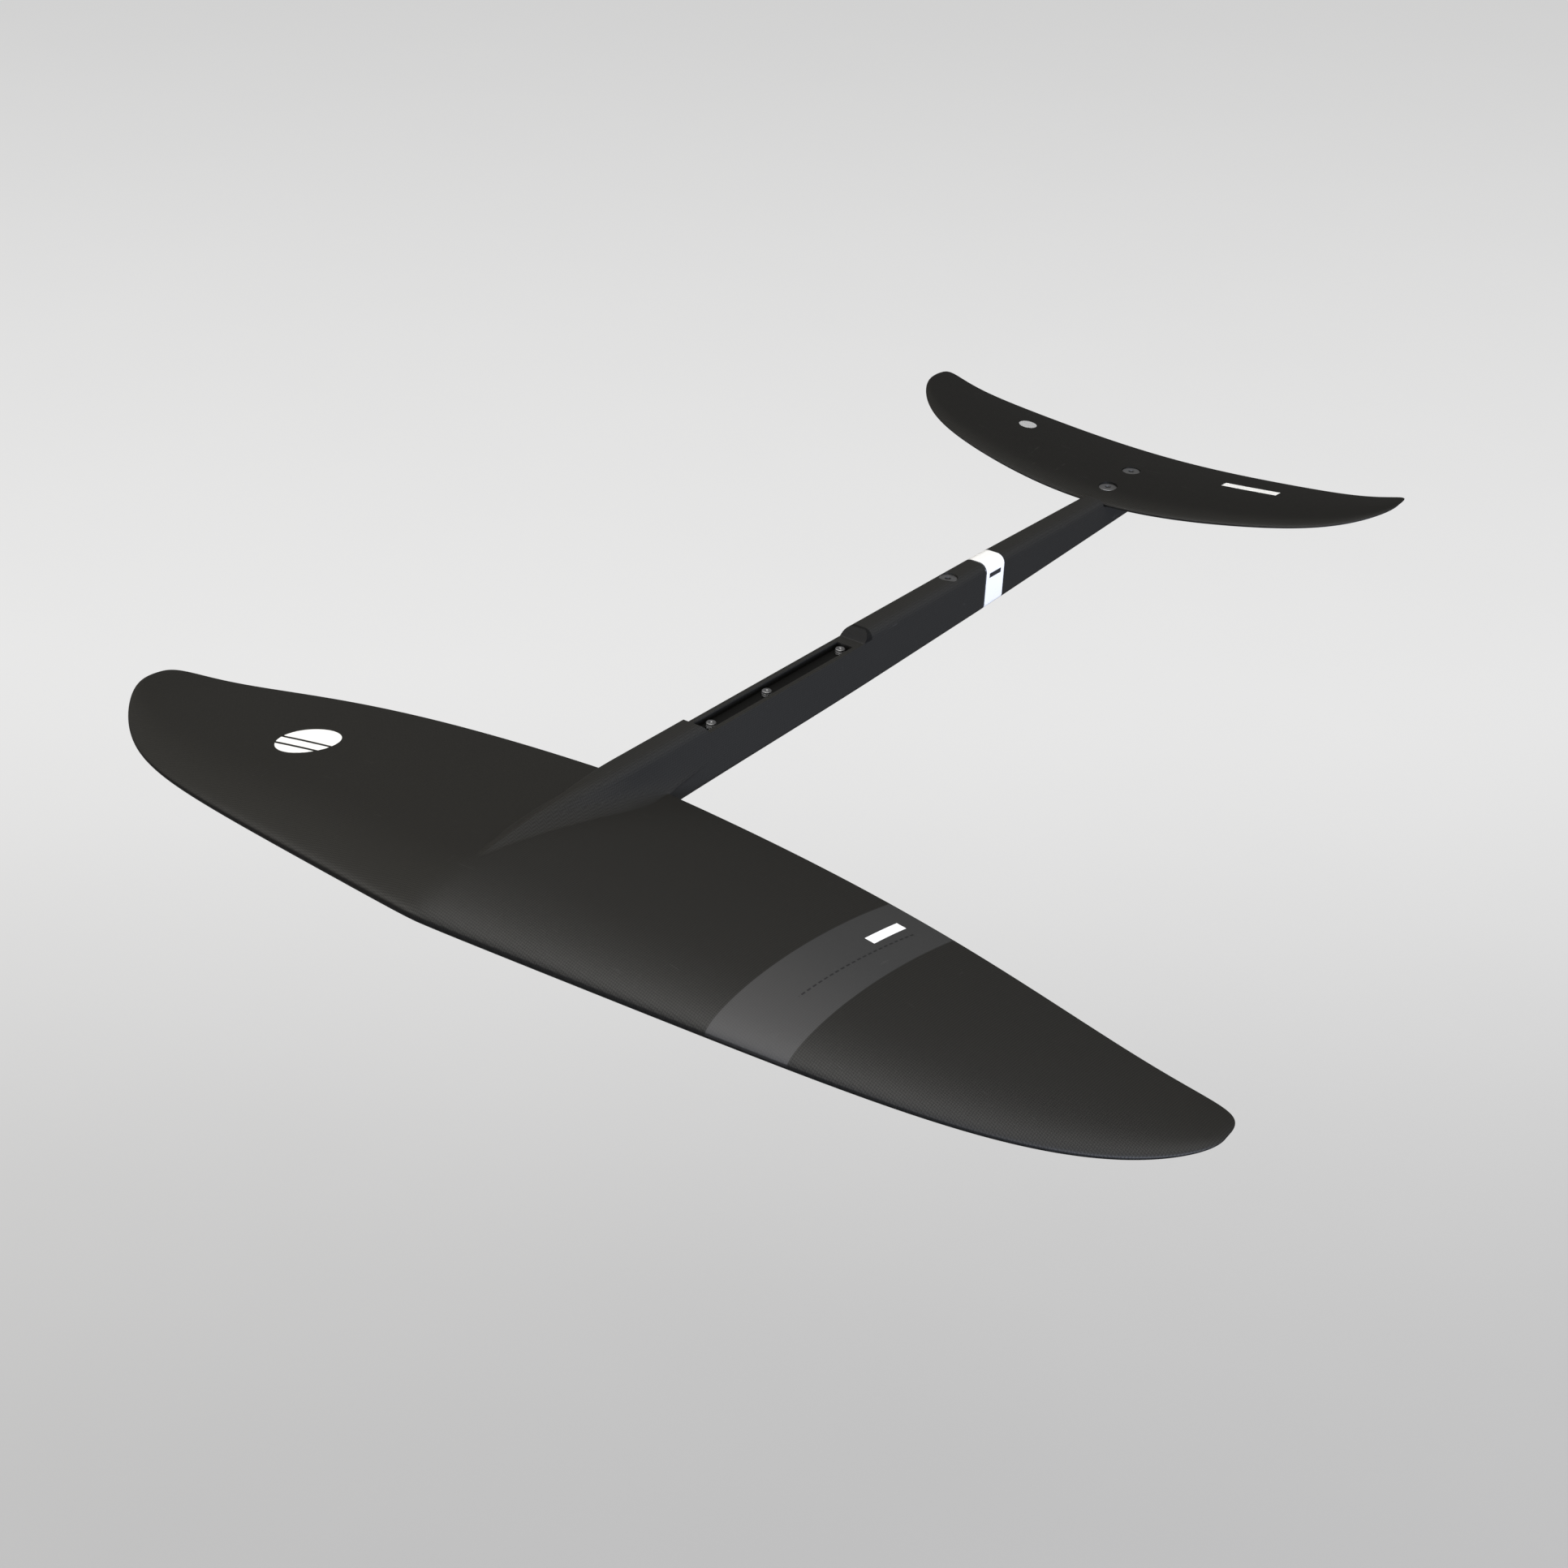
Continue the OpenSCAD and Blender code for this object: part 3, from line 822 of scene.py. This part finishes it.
def laminate(name, decorate=None, yarn=0.0013, base=DARK, lifted=LIFTED, lead_light_to=0.30):
    """Satin carbon laminate for the wings; the surface map's V is the chord share"""
    material, tree, shader, where = new_finish(name)
    uv = tree.nodes.new("ShaderNodeUVMap")
    uv.uv_map = "surface"
    _, chord_share, _ = split(tree, uv.outputs[0])
    cloth = use_group(tree, CLOTH, Place=where, Yarn=yarn, Repeat=2.0)
    uneven = use_group(tree, UNEVEN, Place=where)
    rub = use_group(tree, RUB, Place=where)
    # Painted light: towards the leading edge the laminate is made lighter and its weave
    # brighter, standing in for the light it reflects there
    lead_painted_light = ramp(tree, chord_share, 0.0, lead_light_to, 1.0, 0.0)
    cloudy = calc(tree, "MULTIPLY_ADD", uneven["Cloud"], 0.5, -0.25)
    level = calc(tree, "ADD", calc(tree, "MULTIPLY", lead_painted_light, 0.8), cloudy, clamp=True)
    streak = calc(tree, "MULTIPLY_ADD", uneven["Streak"], 0.22, -0.11)
    level = calc(tree, "ADD", level, streak, clamp=True)
    colour = blend_tone(tree, level, base, lifted)
    weave = calc(tree, "MULTIPLY", cloth["Sheen"], calc(tree, "MULTIPLY_ADD", lead_painted_light, 0.08, 0.15))
    colour = blend_tone(tree, weave, colour, WEAVE_TONE)
    if decorate:
        colour = decorate(tree, where, colour, cloth)
    # Painted shade: the nose of the leading edge, where the surface turns under, is darkened
    # towards near-black
    edge = ramp(tree, chord_share, 0.001, 0.004, 0.75, 0.0)
    colour = blend_tone(tree, edge, colour, PAINTED_SHADE_DARK)
    colour = blend_tone(tree, calc(tree, "MULTIPLY", rub["Scratch"], 0.25), colour, STRIPE)
    feed(tree, colour, shader.inputs["Base Color"])
    rough = calc(tree, "MULTIPLY_ADD", cloth["Sheen"], -0.08, 0.47)
    rough = calc(tree, "MULTIPLY_ADD", uneven["Speck"], 0.08, rough)
    feed(tree, rough, shader.inputs["Roughness"])
    shader.inputs["Specular IOR Level"].default_value = LOW_GLOSS
    add_bump(tree, shader, cloth["Height"], 0.00003, 0.35)
    return material


def disc(tree, where, x0, y0, radius, soft_edge=0.0002):
    x, y, _ = split(tree, where)
    dx = calc(tree, "SUBTRACT", x, x0)
    dy = calc(tree, "SUBTRACT", y, y0)
    squares = calc(tree, "ADD", calc(tree, "MULTIPLY", dx, dx), calc(tree, "MULTIPLY", dy, dy))
    far = calc(tree, "SQRT", squares)
    return ramp(tree, far, radius - soft_edge, radius + soft_edge, 1.0, 0.0)


def bar(tree, where, x0, x1, y0, y1, soft_edge=0.0002):
    x, y, _ = split(tree, where)
    return calc(tree, "MULTIPLY", between(tree, x, x0, x1, soft_edge),
                between(tree, y, y0, y1, soft_edge))


def wing_marks(tree, where, colour, cloth):
    """Stripe with a broken hairline and a tab on the right wing, gapped disc on the left"""
    x, y, _ = split(tree, where)
    stripe = between(tree, x, *STRIPE_X, 0.0002)
    # Painted light: the stripe is made lighter towards the front of the wing
    stripe_painted_light = ramp(tree, y, -0.27, -0.17, 1.0, 0.0)
    body = blend_tone(tree, stripe_painted_light, tone(57, 57, 56), tone(67, 66, 64))
    body = blend_tone(tree, calc(tree, "MULTIPLY", cloth["Sheen"], 0.3), body,
                      tone(44, 43, 42))
    colour = blend_tone(tree, calc(tree, "MULTIPLY", stripe, 0.95), colour, body)
    moved = calc(tree, "ADD", x, RULE_OFFSET)
    slant = calc(tree, "MULTIPLY_ADD", y, RULE_SLANT, moved)
    rule = calc(tree, "MULTIPLY", between(tree, slant, *RULE_X, 0.0002),
                between(tree, y, *RULE_Y, 0.0002))
    dash = calc(tree, "FRACT", calc(tree, "MULTIPLY", y, 1 / DASH))
    rule = calc(tree, "MULTIPLY", rule, calc(tree, "LESS_THAN", dash, 0.62))
    colour = blend_tone(tree, calc(tree, "MULTIPLY", rule, 0.8), colour, tone(24, 24, 24))
    tab = bar(tree, where, *TAB)
    colour = blend_tone(tree, tab, colour, WHITE)
    mark = disc(tree, where, *WING_DISC)
    for gap_y in DISC_GAPS_Y:
        slit = between(tree, y, gap_y - GAP_HALF, gap_y + GAP_HALF, 0.0002)
        mark = calc(tree, "SUBTRACT", mark, slit, clamp=True)
    return blend_tone(tree, mark, colour, WHITE)


def stab_marks(tree, where, colour, _):
    """Small round mark on the left half and a light bar on the right half"""
    mark = disc(tree, where, *STAB_DISC)
    colour = blend_tone(tree, calc(tree, "MULTIPLY", mark, 0.42), colour, WHITE)
    tab = bar(tree, where, *STAB_TAB)
    return blend_tone(tree, calc(tree, "MULTIPLY", tab, 0.9), colour, WHITE)


def fuselage_laminate():
    """Satin carbon on the fuselage: cloth laid over the crown and down the flanks"""
    material, tree, shader, where = new_finish("fuselage_carbon")
    x, y, z = split(tree, where)
    facing = tree.nodes.new("ShaderNodeNewGeometry").outputs["Normal"]
    nx, _, nz = split(tree, facing)
    on_flank = calc(tree, "GREATER_THAN", calc(tree, "ABSOLUTE", nx), 0.72)
    place = join_xyz(tree, blend_value(tree, on_flank, x, z), y, 0.0)
    cloth = use_group(tree, CLOTH, Place=place, Yarn=0.0015)
    uneven = use_group(tree, UNEVEN, Place=where)
    rub = use_group(tree, RUB, Place=where)
    level = calc(tree, "MULTIPLY_ADD", uneven["Cloud"], 0.5, 0.15, clamp=True)
    colour = blend_tone(tree, level, tone(25, 25, 24), tone(36, 35, 33))
    # Painted light: the fairing's nose gets a warmer tone standing in for the light on it, not
    # for its own colour
    nose_painted_tint = ramp(tree, y, -0.215, -0.140, 0.5, 0.0)
    colour = blend_tone(tree, nose_painted_tint, colour, tone(27, 25, 20))
    weave = calc(tree, "MULTIPLY", cloth["Sheen"], 0.16)
    colour = blend_tone(tree, weave, colour, tone(78, 77, 73))
    # Painted shade: faces turned downwards, along the keel, are darkened towards near-black
    under = ramp(tree, nz, -0.60, -0.15, 0.9, 0.0)
    colour = blend_tone(tree, under, colour, PAINTED_SHADE_DARK)
    # Painted shade: the inside of the mast channel and the step face behind the seat are
    # darkened towards near-black
    inside = bar(tree, where, *SEAT_BOX, 0.0001)
    inside = calc(tree, "MULTIPLY", inside, ramp(tree, z, 0.0030, 0.0044, 1.0, 0.0))
    step = bar(tree, where, *STEP_BOX, 0.0003)
    step = calc(tree, "MULTIPLY", step, ramp(tree, z, 0.0040, 0.0050))
    inside = calc(tree, "MAXIMUM", inside, step)
    colour = blend_tone(tree, calc(tree, "MULTIPLY", inside, 0.8), colour, PAINTED_SHADE_DARK)
    colour = blend_tone(tree, calc(tree, "MULTIPLY", rub["Scratch"], 0.3), colour, STRIPE)
    feed(tree, colour, shader.inputs["Base Color"])
    rough = calc(tree, "MULTIPLY_ADD", uneven["Speck"], 0.12, 0.36)
    feed(tree, rough, shader.inputs["Roughness"])
    shader.inputs["Specular IOR Level"].default_value = LOW_GLOSS
    add_bump(tree, shader, cloth["Height"], 0.00003, 0.35)
    return material


def band_film():
    """White wrap film with dark hairlines at its edges and a plain dark bar"""
    material, tree, shader, where = new_finish("band_white_film")
    x, y, z = split(tree, where)
    uneven = use_group(tree, UNEVEN, Place=where)
    y0, y1 = BAND[0] * MM, BAND[1] * MM
    body = between(tree, y, y0 + BAND_EDGE, y1 - BAND_EDGE, 0.0001)
    colour = blend_tone(tree, body, tone(20, 20, 20), tone(247, 246, 243))
    tint = calc(tree, "MULTIPLY", uneven["Cloud"], 0.12)
    colour = blend_tone(tree, tint, colour, tone(205, 206, 212))
    label = calc(tree, "MULTIPLY",
                 between(tree, y, y0 + LABEL_INSET, y1 - LABEL_INSET, 0.0002),
                 between(tree, z, *LABEL_Z, 0.0002))
    label = calc(tree, "MULTIPLY", label, calc(tree, "GREATER_THAN", x, 0.0085))
    colour = blend_tone(tree, label, colour, tone(38, 38, 40))
    feed(tree, colour, shader.inputs["Base Color"])
    rough = calc(tree, "MULTIPLY_ADD", uneven["Speck"], 0.1, 0.28)
    feed(tree, rough, shader.inputs["Roughness"])
    shader.inputs["Coat Weight"].default_value = 0.3
    add_bump(tree, shader, uneven["Speck"], 0.00001, 0.3)
    return material


def turned_metal(name, base, worn, rough):
    """Machined metal: fine turning rings about each screw's own axis, light tarnish"""
    material, tree, shader, where = new_finish(name)
    uneven = use_group(tree, UNEVEN, Place=where)
    rub = use_group(tree, RUB, Place=where)
    _, _, z = split(tree, where)
    ring = calc(tree, "SINE", calc(tree, "MULTIPLY", z, 2 * math.pi / 0.00022))
    grain = noise(tree, scaled(tree, where, (1500, 1500, 1500)), 1.0, 2.0)
    level = calc(tree, "MULTIPLY_ADD", uneven["Cloud"], 0.7, -0.1, clamp=True)
    colour = blend_tone(tree, level, base, worn)
    colour = blend_tone(tree, calc(tree, "MULTIPLY", rub["Scratch"], 0.5), colour, base)
    feed(tree, colour, shader.inputs["Base Color"])
    shader.inputs["Metallic"].default_value = 1.0
    feed(tree, calc(tree, "MULTIPLY_ADD", grain, 0.22, rough), shader.inputs["Roughness"])
    height = calc(tree, "MULTIPLY_ADD", ring, 0.3, grain)
    add_bump(tree, shader, height, 0.00001, 0.4)
    return material


def tow_laminate():
    """Unidirectional carbon: tows running along the span"""
    material, tree, shader, where = new_finish("spar_carbon_tow")
    tows = noise(tree, scaled(tree, where, (12, 900, 900)), 1.0, 4.0, 0.6)
    lines = noise(tree, scaled(tree, where, (4, 260, 260)), 1.0, 1.0)
    colour = blend_tone(tree, tows, tone(22, 22, 22), tone(74, 73, 70))
    feed(tree, colour, shader.inputs["Base Color"])
    feed(tree, calc(tree, "MULTIPLY_ADD", lines, 0.25, 0.30), shader.inputs["Roughness"])
    add_bump(tree, shader, tows, 0.00006, 0.5)
    return material


def cell_foam():
    """Closed-cell structural foam"""
    material, tree, shader, where = new_finish("core_foam")
    cells = tree.nodes.new("ShaderNodeTexVoronoi")
    cells.inputs["Scale"].default_value = 1400
    feed(tree, where, cells.inputs["Vector"])
    wall = ramp(tree, cells.outputs["Distance"], 0.1, 0.6)
    cloud = noise(tree, scaled(tree, where, (30, 30, 30)), 1.0, 3.0)
    colour = blend_tone(tree, wall, tone(206, 190, 142), tone(232, 220, 178))
    colour = blend_tone(tree, calc(tree, "MULTIPLY", cloud, 0.3), colour, tone(188, 168, 120))
    feed(tree, colour, shader.inputs["Base Color"])
    feed(tree, calc(tree, "MULTIPLY_ADD", wall, 0.1, 0.82), shader.inputs["Roughness"])
    add_bump(tree, shader, wall, 0.0002, 0.6)
    return material


def along_view(tree, vector):
    """How far a place or direction lies towards the back of the studio"""
    turn = math.radians(CAMERA_TURN)
    x, y, _ = split(tree, vector)
    back = calc(tree, "MULTIPLY", y, math.cos(turn))
    return calc(tree, "MULTIPLY_ADD", x, -math.sin(turn), back)


def studio_floor():
    """Plain pale floor that glows a little for the camera, so it stays evenly lit; the glow is
    painted light, dimmer towards the camera and a little dimmer far off
    """
    material, tree, shader, where = new_finish("studio_floor")
    depth = along_view(tree, where)
    near = ramp(tree, depth, *FLOOR_NEAR, 1.0, 0.0)
    far = ramp(tree, depth, *FLOOR_FAR)
    glow = blend_tone(tree, near, tone(214, 214, 214), tone(160, 160, 160))
    glow = blend_tone(tree, far, glow, tone(198, 198, 198))
    seen = tree.nodes.new("ShaderNodeLightPath").outputs["Is Camera Ray"]
    glow = blend_tone(tree, seen, tone(0, 0, 0), glow)
    feed(tree, glow, shader.inputs["Emission Color"])
    shader.inputs["Emission Strength"].default_value = 1.0
    grit = noise(tree, scaled(tree, where, (3, 3, 3)), 1.0, 3.0)
    feed(tree, blend_tone(tree, grit, tone(106, 105, 103), tone(112, 111, 109)),
         shader.inputs["Base Color"])
    shader.inputs["Roughness"].default_value = 0.9
    shader.inputs["Specular IOR Level"].default_value = 0.1
    return material


# ---- the piece list ----------------------------------------------------------

def finish_piece(piece, material, slot, *nodes):
    """Material on, riding on the one body, standing for its CAD node"""
    piece.data.materials.clear()
    piece.data.materials.append(material)
    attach(piece, "root")
    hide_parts(*nodes)


def dress_node(name, material):
    """Finished material on a CAD node that stays"""
    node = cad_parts[name]
    if not node.material_slots:
        node.data.materials.append(material)
    for s in node.material_slots:
        s.material = material


def build_wings(carbon_marked, carbon_plain, stab_marked, stab_plain):
    for name, side, material in (("upper", 1, carbon_marked), ("lower", -1, carbon_plain)):
        body = skin_body(f"wing_skin_{name}", FRONT, side, 110)
        smooth(body)
        finish_piece(body, material, "carbon", f"front_wing_{name}_skin")
    for name, side, material in (("upper", 1, stab_marked), ("lower", -1, stab_plain)):
        body = stab_skin(f"stab_skin_{name}", side)
        finish_piece(body, material, "carbon", f"stabilizer_{name}_skin")


def build_fuselage(carbon, film):
    finish_piece(front_body(), carbon, "carbon", "front_fuselage")
    finish_piece(rear_body(), carbon, "carbon", "rear_fuselage")
    finish_piece(band_body(), film, "band_white", "fuselage_band")


def build_screws(steel):
    for place, y in zip(("front", "middle", "rear"), MAST_SCREW_Y):
        body = screw(f"mast_bolt_{place}", MAST_SCREW_L, y, MAST_HEAD_Z, -1)
        tip_dimple(body, y, MAST_SCREW_L, MAST_HEAD_Z)
        finish_piece(body, steel, "screw_steel", f"mast_screw_{place}")
    body = screw("joint_bolt", 20, JOINT_SCREW_Y, JOINT_HEAD_Z, 1)
    finish_piece(body, steel, "screw_steel", "fuselage_joint_screw")
    for place, y in zip(("front", "rear"), STAB_SCREW_Y):
        body = screw(f"stab_bolt_{place}", 16, y, stab_top(y) - 0.5, 1)
        finish_piece(body, steel, "screw_steel", f"stabilizer_screw_{place}")


def dress_inner_nodes():
    foam = cell_foam()
    tow = tow_laminate()
    brass = turned_metal("insert_turned_brass", tone(206, 170, 98), tone(166, 128, 66), 0.28)
    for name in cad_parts:
        if "_core" in name:
            dress_node(name, foam)
        elif name.endswith("spar") or name.endswith("hardpoint"):
            dress_node(name, tow)
        elif "insert" in name:
            dress_node(name, brass)


# ---- studio ------------------------------------------------------------------

def add_floor():
    let_go()
    bpy.ops.mesh.primitive_plane_add(size=40, location=(0, 0, FLOOR_Z))
    floor = bpy.context.object
    floor.name = "floor"
    floor.data.materials.append(studio_floor())


def soft_light(name, place, target, size, power, colour):
    data = bpy.data.lights.new(name, "AREA")
    data.shape = "RECTANGLE"
    data.size = size[0]
    data.size_y = size[1]
    data.energy = power
    data.color = colour
    lamp = bpy.data.objects.new(name, data)
    bpy.context.scene.collection.objects.link(lamp)
    lamp.location = place
    aim = Vector(target) - Vector(place)
    lamp.rotation_euler = aim.to_track_quat("-Z", "Y").to_euler()


def add_lights():
    world = bpy.data.worlds.new("studio")
    bpy.context.scene.world = world
    world.use_nodes = True
    tree = world.node_tree
    back = tree.nodes["Background"]
    sky = tree.nodes.new("ShaderNodeTexCoord").outputs["Generated"]
    behind = along_view(tree, sky)
    light = blend_tone(tree, ramp(tree, behind, 0.0, 0.8), tone(168, 168, 168),
                       tone(104, 104, 104))
    seen = tree.nodes.new("ShaderNodeLightPath").outputs["Is Camera Ray"]
    feed(tree, blend_tone(tree, seen, light, tone(216, 216, 216)), back.inputs["Color"])
    back.inputs["Strength"].default_value = 1.0
    centre = (0, 0.05, 0)
    soft_light("key_above", (0.1, -0.9, 3.0), centre, (3.0, 3.0), 105, (1.0, 0.985, 0.96))
    soft_light("front_strip", (-2.4, -1.8, 1.3), centre, (2.0, 1.0), 30, (1.0, 0.98, 0.95))
    soft_light("right_fill", (4.2, -1.8, 0.6), centre, (3.0, 0.9), 290, (0.72, 0.79, 1.0))


def add_camera():
    turn = math.radians(CAMERA_TURN)
    rise = math.radians(CAMERA_RISE)
    roll = math.radians(CAMERA_ROLL)
    back = Vector((math.sin(turn) * math.cos(rise), -math.cos(turn) * math.cos(rise),
                   math.sin(rise)))
    right = Vector((math.cos(turn), math.sin(turn), 0))
    up = back.cross(right)
    side = math.cos(roll) * right + math.sin(roll) * up
    head = math.cos(roll) * up - math.sin(roll) * right
    data = bpy.data.cameras.new("camera")
    data.lens = CAMERA_LENS
    data.sensor_width = 36
    data.shift_x, data.shift_y = CAMERA_SHIFT
    data.clip_end = 100
    camera = bpy.data.objects.new("camera", data)
    bpy.context.scene.collection.objects.link(camera)
    rotation = Matrix((side, head, back)).transposed()
    camera.matrix_world = Matrix.Translation(CAMERA_PLACE) @ rotation.to_4x4()
    bpy.context.scene.camera = camera


add_camera()
build_wings(laminate("wing_carbon_marked", wing_marks), laminate("wing_carbon_plain"),
            laminate("stab_carbon_marked", stab_marks, 0.0012, STAB_SHADED_DARK, STAB_SHADED_LIFTED, 0.2),
            laminate("stab_carbon_plain", None, 0.0012, STAB_SHADED_DARK, STAB_SHADED_LIFTED, 0.2))
build_fuselage(fuselage_laminate(), band_film())
build_screws(turned_metal("screw_stainless", tone(140, 140, 140), tone(98, 98, 100), 0.42))
dress_inner_nodes()
add_floor()
add_lights()
bpy.context.scene.view_settings.view_transform = "Standard"
